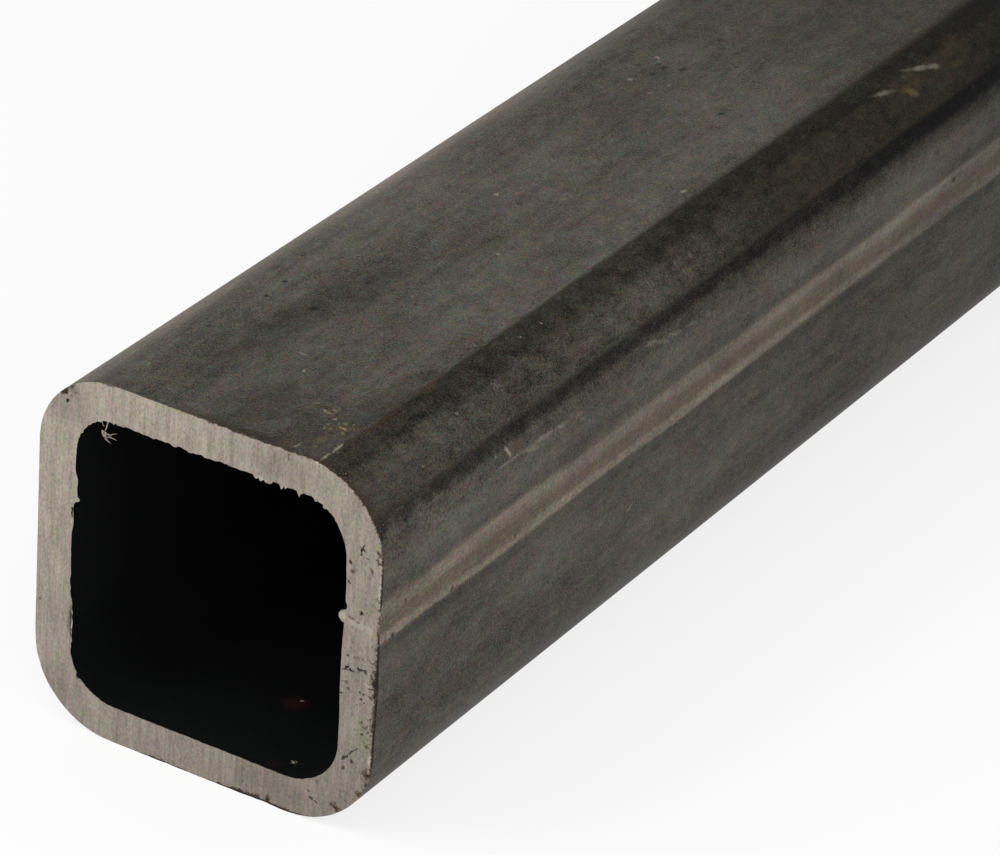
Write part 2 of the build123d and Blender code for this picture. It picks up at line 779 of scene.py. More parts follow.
class Graph:
    """The node tree of one material, and the few ways in which it grows."""

    def __init__(self, tree: bpy.types.NodeTree) -> None:
        """Empties the tree and keeps it."""
        self.tree = tree
        tree.nodes.clear()

    def node(
        self,
        kind: str,
        settings: Mapping[str, Any] | None = None,
        inputs: Mapping[Any, Value] | None = None,
    ) -> bpy.types.Node:
        """Adds one node.

        Args:
            kind: the node's type.
            settings: its own settings, made first.
            inputs: a number, a vector or a Signal for each named or numbered socket.

        Returns:
            The node.
        """
        made = self.tree.nodes.new(kind)
        for name, setting in (settings or {}).items():
            setattr(made, name, setting)
        for key, value in (inputs or {}).items():
            if isinstance(value, Signal):
                self.tree.links.new(value.socket, made.inputs[key])
            else:
                made.inputs[key].default_value = value
        return made

    def read(self, node: bpy.types.Node, output: int | str = 0) -> Signal:
        """Wraps one output of a node."""
        return Signal(self, node.outputs[output])

    def math(self, operation: str, *values: Value) -> Signal:
        """A Math node on these values, in order."""
        return self.read(self.node("ShaderNodeMath", {"operation": operation}, dict(enumerate(values))))

    def vector(self, operation: str, *values: Value, output: int | str = 0) -> Signal:
        """A Vector Math node on these values, in order."""
        node = self.node("ShaderNodeVectorMath", {"operation": operation}, dict(enumerate(values)))
        return self.read(node, output)

    def step(self, value: Value, low: float, high: float, top: float = 1.0) -> Signal:
        """Makes a smooth step, which rises as the value does unless high is the lower.

        Args:
            value: what the step is taken on.
            low: where the result is 0.
            high: where it is top.
            top: the result from high on.

        Returns:
            The result, from 0 to top.
        """
        start, end = min(low, high), max(low, high)
        rising = {"Value": value, "From Min": start, "From Max": end}
        ends = {"To Min": top * (low > high), "To Max": top * (low < high)}
        settings = {"interpolation_type": "SMOOTHSTEP"}
        return self.read(self.node("ShaderNodeMapRange", settings, {**rising, **ends}))

    def band(self, value: Signal, low: float, high: float, soft: Pair) -> Signal:
        """1 between low and high, and 0 past a soft edge of its own width on each side."""
        into = self.step(value, low - soft[0] / 2, low + soft[0] / 2)
        return into * self.step(value, high + soft[1] / 2, high - soft[1] / 2)

    def stray(self, place: Value, size: float) -> Signal:
        """A random vector with features of a size in millimetres, its parts mostly within 0.3 of 0."""
        made = self.node("ShaderNodeTexNoise", {}, {"Vector": place, "Scale": 1.0 / size, "Detail": 2.0})
        return self.vector("SUBTRACT", self.read(made, "Color"), (0.5, 0.5, 0.5))

    def tinted(self, colour: Signal, stray: Signal, strength: float) -> Signal:
        """A colour whose parts are each made lighter or darker as a random vector strays."""
        factors = self.vector("MULTIPLY_ADD", stray, (strength,) * 3, (1.0,) * 3)
        return self.vector("MULTIPLY", colour, factors)

    def frayed(self, place: Signal, stray: Signal, reach: float) -> Signal:
        """A flat place shifted as a random vector strays, to fray the marks that are drawn on it."""
        return self.vector("MULTIPLY_ADD", stray, (reach, reach, 0.0), place)

    def stretch(self, place: Signal, factors: Sequence[float]) -> Signal:
        """A place with each axis multiplied, so that a pattern is drawn out where it is small."""
        return self.vector("MULTIPLY", place, factors)

    def mix(self, factor: Value, first: Value, second: Value) -> Signal:
        """Colour mixing, from first to second by factor."""
        settings = {"data_type": "RGBA", "blend_type": "MIX", "clamp_factor": True}
        return self.read(self.node("ShaderNodeMix", settings, {0: factor, 6: first, 7: second}), 2)

    def scaled(self, colour: Value, factor: Signal) -> Signal:
        """A colour made lighter or darker by a factor, one for all its parts."""
        node = self.node("ShaderNodeVectorMath", {"operation": "SCALE"}, {0: colour, "Scale": factor})
        return self.read(node)

    def bump(self, height: Signal) -> Signal:
        """The normal that a height in millimetres gives."""
        return self.read(self.node("ShaderNodeBump", {}, {"Distance": MM, "Height": height}))

    def object_place(self) -> Signal:
        """Object coordinates in millimetres from the tube's middle."""
        read = self.read(self.node("ShaderNodeTexCoord"), "Object")
        return self.vector("MULTIPLY_ADD", read, (1 / MM,) * 3, tuple(-part for part in AXIS))

    def surface_place(self) -> Signal:
        """The place on the skin: girth, length from the near cut, and 0, in millimetres."""
        return self.read(self.node("ShaderNodeUVMap", {"uv_map": "surface"}))

    def stain(self) -> Signal:
        """How stained a point is, as the mesh says."""
        return self.read(self.node("ShaderNodeAttribute", {"attribute_name": "stain"}), "Fac")

    def join(self, *parts: Value) -> Signal:
        """A vector of three parts."""
        return self.read(self.node("ShaderNodeCombineXYZ", {}, dict(enumerate(parts))))

    def split(self, place: Signal) -> tuple[Signal, Signal, Signal]:
        """The three parts of a vector."""
        node = self.node("ShaderNodeSeparateXYZ", {}, {0: place})
        return self.read(node, 0), self.read(node, 1), self.read(node, 2)

    def dome(self, place: Signal, middle: Pair, angle: float, half: Pair) -> Signal:
        """A cone of height 1 over an ellipse on a flat place.

        Args:
            place: the flat place.
            middle: the ellipse's middle.
            angle: how far the ellipse is turned, in radians.
            half: its two half sizes.

        Returns:
            1 - r, where r is 1 on the ellipse, and 0 outside it.
        """
        ellipse = {"Location": (*middle, 0.0), "Rotation": (0.0, 0.0, angle), "Scale": (*half, 1.0)}
        seen = self.node("ShaderNodeMapping", {"vector_type": "TEXTURE"}, {"Vector": place, **ellipse})
        cone = self.node("ShaderNodeTexGradient", {"gradient_type": "SPHERICAL"}, {0: self.read(seen)})
        return self.read(cone, "Fac")


# ---------------------------------------------------------------- the finishes


@dataclass(frozen=True)
class Mark:
    """A scratch, fleck or darker patch on a flat place: an ellipse from one tip to the other."""

    start: Pair
    end: Pair
    width: float
    strength: float = 1.0

    def mask(self, graph: Graph, place: Signal, soft: float) -> Signal:
        """Draws the mark.

        Args:
            graph: the tree that the nodes go into.
            place: the flat place that the mark is drawn on.
            soft: the share of its half width over which it fades out.

        Returns:
            A mask with the mark's strength in its middle and 0 outside it.
        """
        way = np.subtract(self.end, self.start)
        middle = tuple(np.add(self.start, self.end) / 2)
        half = (max(float(np.hypot(*way)), self.width) / 2, self.width / 2)
        dome = graph.dome(place, middle, math.atan2(way[1], way[0]), half)
        return graph.step(dome, 0.0, soft, self.strength)


def marks(*rows: tuple[float, ...]) -> tuple[Mark, ...]:
    """Makes marks from rows of numbers.

    Args:
        rows: for a long mark its two tips, its width and, below 1, its strength; for a
            round one its middle, its width and its strength.

    Returns:
        The marks, in order.
    """
    made = []
    for row in rows:
        tips = 4 if len(row) > 4 else 2
        made.append(Mark(row[:2], row[tips - 2 : tips], *row[tips:]))
    return tuple(made)


def gather(graph: Graph, place: Signal, group: Sequence[Mark], soft: float = 0.5) -> Signal:
    """Makes one mask for several marks, the strongest of them at each place.

    Args:
        graph: the tree that the nodes go into.
        place: the flat place that the marks are drawn on.
        group: at least one mark.
        soft: the share of each mark's half width over which it fades out.

    Returns:
        The mask, from 0 to 1.
    """
    joined = group[0].mask(graph, place, soft)
    for mark in group[1:]:
        joined = joined | mark.mask(graph, place, soft)
    return joined


@dataclass(frozen=True)
class Pattern:
    """A noise: its features' size in millimetres, what stretches it, its detail and roughness."""

    size: float
    stretch: Triple | None = None
    detail: float = 2.0
    rough: float = 0.5

    def on(self, graph: Graph, solid: Signal) -> Signal:
        """Draws the noise.

        Args:
            graph: the tree that the nodes go into.
            solid: the place that it is read at.

        Returns:
            Values about 0, mostly between -1 and 1.
        """
        place = graph.stretch(solid, self.stretch) if self.stretch else solid
        made = graph.node(
            "ShaderNodeTexNoise",
            {"noise_dimensions": "3D", "normalize": True},
            {"Vector": place, "Scale": 1.0 / self.size, "Detail": self.detail, "Roughness": self.rough},
        )
        return (graph.read(made, "Fac") - 0.5) * 4.0


class Coat(ABC):
    """A finish that is one principled shader."""

    name: str

    def build(self) -> bpy.types.Material:
        """Makes the material from what the finish puts into its shader.

        Returns:
            The material.
        """
        material = bpy.data.materials.new(self.name)
        material.use_nodes = True
        graph = Graph(material.node_tree)
        shader = graph.node("ShaderNodeBsdfPrincipled", {}, self.sockets(graph))
        graph.node("ShaderNodeOutputMaterial", {}, {"Surface": graph.read(shader)})
        return material

    @abstractmethod
    def sockets(self, g: Graph) -> dict[str, Value]:
        """What goes into the shader's sockets."""


@dataclass(frozen=True)
class MillScale(Coat):
    """Dark rolled scale: cloudy, speckled, streaked along the tube, and banded at the weld.

    Its bands are placed by their girth from the middle of the top, and its marks by
    their girth and their length from the near cut, in millimetres.
    """

    name: str = "mill_scale"
    steel_grey: Tone = (74, 73, 67)
    warm_grey: Tone = (76, 71, 64)
    stripe: Tone = (27, 26, 19)
    blue_black: Tone = (8, 8, 9)
    deep_brown: Tone = (46, 42, 33)
    rust: Tone = (50, 40, 26)
    weld_brown: Tone = (90, 80, 68)
    weld_pale: Tone = (115, 108, 97)
    # painted sheen: the pale grazing reflection along the top corner away from the weld
    corner_sheen: Tone = (104, 97, 86)
    bared_steel: Tone = (146, 138, 122)
    yellow_oxide: Tone = (140, 125, 86)
    orange_oxide: Tone = (84, 60, 34)
    pit_black: Tone = (10, 10, 9)
    clouds: Pattern = Pattern(14.0, (1.0, 0.35, 1.0))
    mottle: Pattern = Pattern(2.2, (1.0, 0.6, 1.0), 3.0, 0.6)
    grain: Pattern = Pattern(0.3, None, 1.0, 0.8)
    streaks: Pattern = Pattern(1.4, (1.0, 0.03, 1.0), 2.0, 0.6)
    warmth: Pattern = Pattern(6.0, (1.0, 0.5, 1.0), 2.0, 0.6)
    waves: Pattern = Pattern(3.0, (1.0, 0.12, 1.0))
    cloud_depth: float = 0.33
    mottle_depth: float = 0.3
    grain_depth: float = 0.68
    streak_depth: float = 0.15
    sheen_corner: Stripe = (-33.0, -22.6, (3.5, 3.0))
    blotched_corner: Stripe = (21.0, 33.0, (4.0, 4.0))
    rusty_corner: Stripe = (13.0, 33.0, (4.0, 5.0))
    rusty_rim: Stripe = (-6.0, 36.0, (6.0, 8.0))
    # the corner stripes below are partly dark scale and partly a painted reflection of dark surroundings
    upper_stripe: float = 19.3
    speckled_band: Stripe = (24.0, 32.5, (3.0, 1.4))
    lower_stripe: Stripe = (31.8, 33.8, (1.2, 2.4))
    stripe_core: Stripe = (31.9, 34.4, (1.2, 2.2))
    brown_below: Stripe = (33.5, 37.5, (1.0, 3.0))
    seam: Stripe = (45.7, 53.6, (1.6, 0.5))
    upper_pale_line: Stripe = (46.1, 48.6, (1.2, 2.4))
    lower_pale_line: Stripe = (51.9, 53.4, (1.4, 0.5))
    seam_shadow: Stripe = (53.9, 55.8, (0.4, 3.0))
    bare_marks: tuple[Mark, ...] = marks(
        (-22.0, 22.8, 0.9, 0.7), (-6.3, 91.5, 1.1, 0.8), (5.0, 73.7, 1.0, 0.8),
        (1.7, 22.7, 2.2, 21.7, 0.6, 0.8), (-2.4, 26.6, 0.2, 26.4, 0.8, 0.4),
        (16.8, 111.0, 17.6, 112.6, 1.1, 0.9), (22.0, 53.4, 0.7, 0.8), (22.0, 59.5, 0.7, 0.8),
        (25.7, 28.8, 26.2, 29.6, 0.6), (35.1, 32.6, 0.8, 0.5), (64.4, 74.2, 63.2, 76.6, 0.8, 0.7),
        (63.5, 57.0, 0.7, 0.4), (-11.6, 142.0, -11.0, 143.2, 1.0, 0.8),
        (-12.9, 153.3, -11.2, 152.7, 1.0, 0.7), (-4.8, 144.7, 0.9, 0.5), (5.8, 136.7, 0.6, 0.7),
        (-5.9, 140.1, 1.6, 0.25), (14.0, 1.0, 14.1, 3.6, 0.65, 0.6), (14.1, 12.4, 0.75, 0.8),
        (14.3, 9.1, 0.75, 0.6), (14.1, 10.4, 0.6, 0.5), (15.2, 11.6, 0.6, 0.6), (17.2, 12.7, 0.6, 0.5),
        (16.4, 3.6, 0.6, 0.4), (19.0, 0.4, 19.2, 4.0, 0.65, 0.7), (19.2, 3.2, 19.0, 7.6, 0.7, 0.8),
        (34.3, 35.1, 37.3, 36.7, 1.1), (37.3, 29.2, 37.5, 46.4, 0.8, 0.35),
        (37.2, 39.2, 38.6, 45.2, 1.4, 0.5), (37.4, 42.8, 37.9, 49.6, 1.5, 0.5),
        (37.5, 45.8, 37.7, 49.4, 1.0, 0.6), (37.7, 48.4, 38.2, 54.6, 1.4, 0.45),
        (38.0, 55.2, 38.3, 58.6, 1.0, 0.32), (39.2, 56.6, 39.4, 58.8, 0.7, 0.28),
        (35.0, 77.0, 36.0, 82.6, 1.3, 0.45), (35.8, 80.6, 36.9, 84.6, 1.1, 0.4),
        (36.1, 83.6, 37.1, 89.6, 1.2, 0.4), (36.7, 89.4, 37.4, 94.6, 1.1, 0.3),
        (37.3, 95.0, 38.0, 100.0, 1.0, 0.25), (27.5, 98.6, 1.1, 0.35), (26.8, 94.4, 0.9, 0.3),
        (28.7, 95.0, 0.9, 0.25), (34.6, 109.0, 38.4, 106.0, 0.9, 0.16),
        (36.9, 117.2, 39.6, 115.8, 1.3, 0.12), (23.2, 164.4, 25.4, 173.4, 1.2, 0.2),
        (23.6, 166.0, 24.9, 171.2, 1.3, 0.42), (22.0, 175.2, 26.4, 187.0, 1.2, 0.2),
        (23.6, 179.0, 25.2, 184.4, 1.6, 0.46), (24.6, 182.0, 26.1, 186.8, 1.4, 0.36),
    )
    yellow_marks: tuple[Mark, ...] = marks(
        (15.4, 10.9, 17.9, 10.6, 0.9), (16.2, 12.1, 1.0), (17.4, 9.6, 0.7, 0.7), (15.2, 9.4, 0.7, 0.6),
        (14.8, 13.2, 0.6, 0.5), (18.2, 11.4, 0.6, 0.6), (16.9, 8.0, 0.6, 0.5),
        (11.3, 14.6, 13.7, 14.9, 0.8, 0.7), (8.5, 14.6, 9.9, 14.9, 1.0, 0.7),
        (10.6, 13.9, 13.2, 13.2, 0.9, 0.7), (12.9, 15.5, 0.8, 0.6), (15.2, 4.6, 16.6, 7.0, 2.6, 0.14),
        (29.1, 15.2, 29.7, 16.4, 0.6, 0.7), (26.4, 173.6, 28.2, 177.0, 2.4, 0.4),
        (25.4, 184.0, 26.2, 187.0, 1.5, 0.3), (27.2, 188.4, 28.0, 193.6, 1.8, 0.08),
    )
    orange_marks: tuple[Mark, ...] = marks(
        (25.2, 172.2, 27.0, 176.0, 2.8, 0.8), (25.0, 171.6, 27.6, 177.4, 3.6, 0.3),
        (26.9, 175.2, 25.2, 181.0, 1.8, 0.4), (24.6, 186.0, 23.6, 200.0, 4.6, 0.22),
        (18.2, 181.4, 19.6, 185.0, 2.0, 0.3), (35.0, 36.6, 36.8, 40.8, 2.6, 0.65),
        (29.6, 7.2, 31.2, 9.0, 1.8, 0.3), (19.6, 6.0, 19.9, 26.0, 2.0, 0.3),
        (19.6, 25.0, 19.5, 36.0, 2.0, 0.35), (40.0, 126.0, 41.6, 141.0, 6.0, 0.22),
        (13.6, 8.6, 19.2, 11.8, 4.2, 0.35), (18.1, 11.8, 2.6, 0.5), (12.2, 2.9, 2.2, 0.5),
        (11.9, 1.3, 3.2, 0.6), (8.4, 14.2, 13.4, 15.0, 2.2, 0.35), (4.0, 0.6, 9.6, 1.2, 3.0, 0.3),
    )
    dark_marks: tuple[Mark, ...] = marks(
        (-9.2, 39.2, -7.2, 40.5, 2.0), (-7.1, 40.2, -6.0, 40.6, 0.9, 0.8), (-16.7, 44.7, 1.4, 0.9),
        (-16.3, 38.9, 1.3, 0.9), (-21.2, 46.4, -20.3, 50.0, 1.5, 0.5), (-11.0, 53.7, 1.3, 0.5),
        (-13.2, 54.6, -12.9, 55.8, 1.0, 0.4), (-6.1, 51.2, -5.9, 53.6, 1.3, 0.5), (3.8, 51.1, 1.2, 0.8),
        (-6.0, 46.4, 1.3, 0.4), (-13.1, 81.8, 1.3, 0.5), (-1.7, 91.0, 1.6, 0.8), (-6.0, 15.2, 1.0, 0.6),
        (9.0, 14.3, 12.8, 14.7, 0.9, 0.5), (8.8, 14.4, 10.2, 14.6, 1.2, 0.5), (13.4, 13.6, 0.8, 0.5),
        (15.2, 3.3, 1.5, 0.4), (16.0, 8.6, 1.3, 0.4), (17.8, 10.1, 1.1, 0.5), (15.0, 13.8, 0.8, 0.5),
        (73.6, 84.4, 75.0, 87.6, 1.8, 0.3), (66.4, 69.5, 66.9, 71.5, 1.2, 0.3),
        (2.6, 0.8, 12.6, 1.4, 2.6, 0.5), (10.4, 2.2, 2.0, 0.5), (46.9, 4.9, 0.9, 0.7),
        (48.5, 7.1, 0.9, 0.7), (53.0, 3.7, 1.1, 0.8), (52.9, 20.6, 1.3, 0.8), (52.3, 39.0, 1.1, 0.6),
        (38.0, 12.0, 37.4, 34.5, 0.9, 0.3), (27.5, 26.5, 1.2, 0.5), (-9.4, 149.4, -8.8, 151.4, 1.5, 0.9),
        (-9.5, 145.8, -9.0, 148.0, 1.5, 0.8), (-10.8, 150.0, -10.2, 151.6, 1.3, 0.8),
        (-6.8, 150.4, -5.6, 152.8, 1.9, 0.8), (-13.8, 147.4, -12.6, 149.4, 1.3, 0.5),
        (7.2, 139.6, 8.2, 142.2, 1.3, 0.8), (-7.1, 166.0, 1.9, 0.6), (-5.1, 163.4, 1.7, 0.6),
        (-2.1, 163.3, 1.4, 0.5), (0.6, 158.4, 1.2, 0.4), (47.2, 183.4, 48.2, 185.4, 1.7, 0.8),
        (-3.4, 118.0, -3.6, 125.0, 0.9, 0.4), (-22.0, 157.6, -20.8, 162.0, 1.1, 0.5),
    )
    # darker patches over the skin; the widest, over the far part of the tube, is a painted falloff of the
    # light
    dark_patches_and_falloff: tuple[Mark, ...] = marks(
        (-9.5, -2.0, -8.0, 62.0, 12.0, 0.3), (-5.5, 40.0, -4.5, 66.0, 6.0, 0.2),
        (-10.5, 141.0, -8.0, 155.0, 8.0, 0.3), (-5.5, 148.0, -4.0, 164.0, 6.0, 0.3),
        (16.4, 0.0, 18.4, 44.0, 7.0, 0.26), (15.6, -2.0, 16.4, 16.0, 7.0, 0.1),
        (2.5, -14.0, 2.5, 34.0, 22.0, 0.34), (-9.0, 106.0, -2.0, 174.0, 20.0, 0.18),
        (3.0, 168.0, 8.0, 196.0, 9.0, 0.28), (-2.0, 205.0, 2.0, 235.0, 170.0, 0.34),
    )

    def sockets(self, g: Graph) -> dict[str, Value]:
        """Lays the corner, the weld, the rust, the shading with its painted sheen and falloff, and the marks
        over the scale's two greys.

        Args:
            g: the tree that the nodes go into.

        Returns:
            The varying colour, roughness and normal, and the low specular level.
        """
        solid = g.object_place()
        place = g.surface_place()
        girth, length, _ = g.split(place)
        patterns = (self.clouds, self.mottle, self.grain, self.streaks, self.warmth)
        clouds, mottle, grain, streaks, warmth = (pattern.on(g, solid) for pattern in patterns)

        colour = g.mix(g.step(warmth, -1.0, 1.0), linear(self.steel_grey), linear(self.warm_grey))
        near = g.step(length, 42.0, 8.0)
        ragged_girth = girth + (0.35 + 1.1 * near) * mottle + 0.12 * grain
        # painted sheen along the top corner away from the weld, weaker far along the tube
        pale = g.band(ragged_girth, *self.sheen_corner) * (0.8 - 0.5 * g.step(length, 90.0, 160.0))
        colour = g.mix(pale, colour, linear(self.corner_sheen))
        colour = self._corner(g, colour, ragged_girth, length, mottle, grain)
        wavy_girth = girth + 0.45 * self.waves.on(g, solid)
        seam = g.band(wavy_girth, *self.seam)
        colour = self._weld(g, colour, wavy_girth, length, seam, clouds)
        colour = self._rust(g, colour, girth, length, mottle, grain)

        calm = 1.0 - 0.35 * seam
        blotched = calm + 0.6 * g.band(girth, *self.blotched_corner)
        shade = 1.0 + self.cloud_depth * clouds + self.mottle_depth * mottle * blotched
        shade = shade + self.grain_depth * grain * calm + self.streak_depth * streaks
        # painted sheen and a painted falloff of the light far along the tube
        painted_sheen, far_share = self._sheen_and_falloff(g, girth, length)
        shade = shade + painted_sheen - far_share
        pits = g.step(mottle + 0.6 * grain, -0.95, -1.5) * 0.65
        glints = g.step(mottle + 0.8 * grain, 1.15, 1.75) * 0.5
        stray = g.stray(solid, 0.7)
        drift = g.stray(g.stretch(solid, (1.0, 0.6, 1.0)), 4.0)
        # darker patches, and a painted falloff of the light over the far part of the tube
        patches_and_falloff = gather(g, g.frayed(place, drift, 8.0), self.dark_patches_and_falloff, 0.8)
        colour = g.scaled(colour, shade * (1.0 - pits) * (1.0 - patches_and_falloff) * (1.0 + glints))
        colour = g.tinted(g.tinted(colour, stray, 1.15), drift, 0.26)
        colour = self._marked(g, colour, g.frayed(place, stray, 0.7), mottle, grain, streaks)
        return {
            "Base Color": colour,
            "Roughness": 0.46 + 0.05 * mottle + 0.05 * grain,
            "Specular IOR Level": 0.03,
            "Normal": g.bump(0.014 * grain + 0.02 * mottle),
        }

    def _corner(
        self, g: Graph, colour: Signal, girth: Signal, length: Signal, mottle: Signal, grain: Signal
    ) -> Signal:
        """Darkens the corner above the weld: two dark stripes with a speckled band between, partly dark
        scale and partly a painted reflection of dark surroundings.

        The stripes deepen along the tube, and the speckles between them die out.
        Near the cut the lower stripe is thin and broken.

        Args:
            g: the tree that the nodes go into.
            colour: what the stripes are laid over.
            girth: the distance round the tube, made a little ragged.
            length: the distance from the near cut.
            mottle: the noise of middling size.
            grain: the finest noise.

        Returns:
            The colour with the stripes in it.
        """
        deep = g.step(length, 20.0, 165.0)
        near = g.step(length, 44.0, 6.0)
        far_share = g.step(length, 78.0, 142.0)
        whole = g.step(length + 9.0 * mottle, 2.0, 46.0)
        fine = 0.9 + 0.1 * deep - 0.17 * grain - 0.12 * mottle
        upper = g.step((girth - self.upper_stripe) * (2.8 - 1.7 * deep), -1.0, 1.0) * (1.0 - 0.1 * near)
        upper = upper * g.step(girth - g.step(length, 40.0, 80.0), 27.1, 22.1)
        between = g.band(girth, *self.speckled_band)
        lower = g.band(girth - 1.4 * deep, *self.lower_stripe) | g.band(girth, *self.stripe_core)
        below = g.band(girth, *self.brown_below)
        speckled = g.step(grain + 0.7 * mottle, -0.4, 1.0)
        brown = g.mix(far_share, linear(self.stripe), linear(self.deep_brown))
        # the dark stripes: dark scale together with a painted reflection of dark surroundings
        colour = g.mix(upper * (0.86 + 0.14 * deep) * fine, colour, linear(self.stripe))
        patchy = (0.18 + 0.72 * far_share) * (1.2 - 0.5 * speckled * (1.0 - far_share))
        colour = g.mix(between * patchy, colour, brown)
        colour = g.mix(below * (0.5 * deep) * fine, colour, linear(self.deep_brown))
        strength = 0.66 + 0.1 * whole + 0.24 * deep - 0.07 * g.band(length, 70.0, 160.0, (30.0, 30.0))
        return g.mix(lower * strength * fine, colour, linear(self.blue_black))

    def _weld(
        self, g: Graph, colour: Signal, girth: Signal, length: Signal, seam: Signal, clouds: Signal
    ) -> Signal:
        """Lays in the scarfed weld: a brown band, two paler lines, and a dark line below, the band and lines
        with a painted falloff of the light along the tube.

        Args:
            g: the tree that the nodes go into.
            colour: what the weld is laid over.
            girth: the distance round the tube, made a little wavy.
            length: the distance from the near cut.
            seam: the mask of the scarfed band.
            clouds: the broadest noise.

        Returns:
            The colour with the weld in it.
        """
        # painted falloff of the light: the weld lighter near the cut and darker far from it
        weld_falloff = 1.05 + 0.17 * g.step(length, 38.0, 12.0) - 0.13 * g.step(length, 40.0, 165.0)
        colour = g.mix(seam * 0.94, colour, g.scaled(linear(self.weld_brown)[:3], weld_falloff))
        lines = g.band(girth, *self.upper_pale_line) | g.band(girth, *self.lower_pale_line)
        pale = g.scaled(linear(self.weld_pale)[:3], weld_falloff)
        colour = g.mix(lines * (0.68 + 0.3 * clouds), colour, pale)
        return g.mix(g.band(girth, *self.seam_shadow) * 0.25, colour, linear(self.stripe))

    def _rust(
        self, g: Graph, colour: Signal, girth: Signal, length: Signal, mottle: Signal, grain: Signal
    ) -> Signal:
        """Stains the skin brown near the cut, most of all on the corner above the weld.

        Args:
            g: the tree that the nodes go into.
            colour: what the stain is laid over.
            girth: the distance round the tube.
            length: the distance from the near cut.
            mottle: the noise of middling size.
            grain: the finest noise.

        Returns:
            The colour with the stain in it.
        """
        patchy = g.step(mottle + 0.9 * grain, -0.5, 0.6)
        corner = g.band(girth, *self.rusty_corner) * g.step(length, 32.0, 2.0)
        rim = g.step(length + 1.6 * mottle + 0.6 * grain, 3.2, 0.8) * g.band(girth, *self.rusty_rim)
        colour = g.mix((corner * 0.35 | rim) * patchy, colour, linear(self.rust))
        return g.mix(rim * g.step(grain - 0.5 * mottle, 0.7, 1.3) * 0.6, colour, linear(self.yellow_oxide))

    def _sheen_and_falloff(self, g: Graph, girth: Signal, length: Signal) -> tuple[Signal, Signal]:
        """Works out the painted sheen, lighter bands where light catches the skin, and the painted falloff,
        darker far along below the weld.

        Args:
            g: the tree that the nodes go into.
            girth: the distance round the tube.
            length: the distance from the near cut.

        Returns:
            How much lighter the painted sheen makes it, and how much darker the painted falloff far along.
        """
        # painted highlights: bands where light catches the corners, and a lighter middle stretch of the tube
        painted_sheen = 0.22 * g.band(girth, 37.4, 42.6, (3.0, 3.0))
        painted_sheen = painted_sheen + 0.1 * g.band(length, 50.0, 110.0, (50.0, 50.0)) * g.step(girth, 19.0, 15.0)
        near_cut = g.band(length, 9.0, 28.0, (6.0, 14.0))
        painted_sheen = painted_sheen + 0.26 * g.band(girth, 36.0, 45.0, (3.0, 3.0)) * near_cut
        middle = g.band(length, 45.0, 115.0, (50.0, 50.0))
        painted_sheen = painted_sheen + 0.09 * g.step(girth, 69.0, 76.0) * (1.0 - middle)
        return painted_sheen, 0.16 * g.step(length, 80.0, 165.0) * g.step(girth, 52.0, 56.0)

    def _marked(
        self, g: Graph, colour: Signal, place: Signal, mottle: Signal, grain: Signal, streaks: Signal
    ) -> Signal:
        """Draws the rust, oxide, bare and black marks, each broken up in its own way.

        Args:
            g: the tree that the nodes go into.
            colour: what the marks are drawn over.
            place: the place on the skin, frayed.
            mottle: the noise of middling size.
            grain: the finest noise.
            streaks: the noise that is drawn out along the tube.

        Returns:
            The colour with the marks in it.
        """
        speckled = g.step(grain + 0.6 * mottle, -1.1, 0.9)
        broken = g.step(0.6 * grain + 0.5 * mottle + 0.6 * streaks, -1.1, 0.8)
        groups = (
            (self.orange_marks, 0.9, 0.35 + 0.65 * speckled, self.orange_oxide),
            (self.yellow_marks, 0.7, 0.2 + 0.8 * speckled, self.yellow_oxide),
            (self.bare_marks, 0.7, 0.25 + 0.75 * broken, self.bared_steel),
            (self.dark_marks, 0.7, 1.2 - 0.5 * speckled, self.pit_black),
        )
        for group, soft, share, tone in groups:
            colour = g.mix(gather(g, place, group, soft) * share, colour, linear(tone))
        return colour


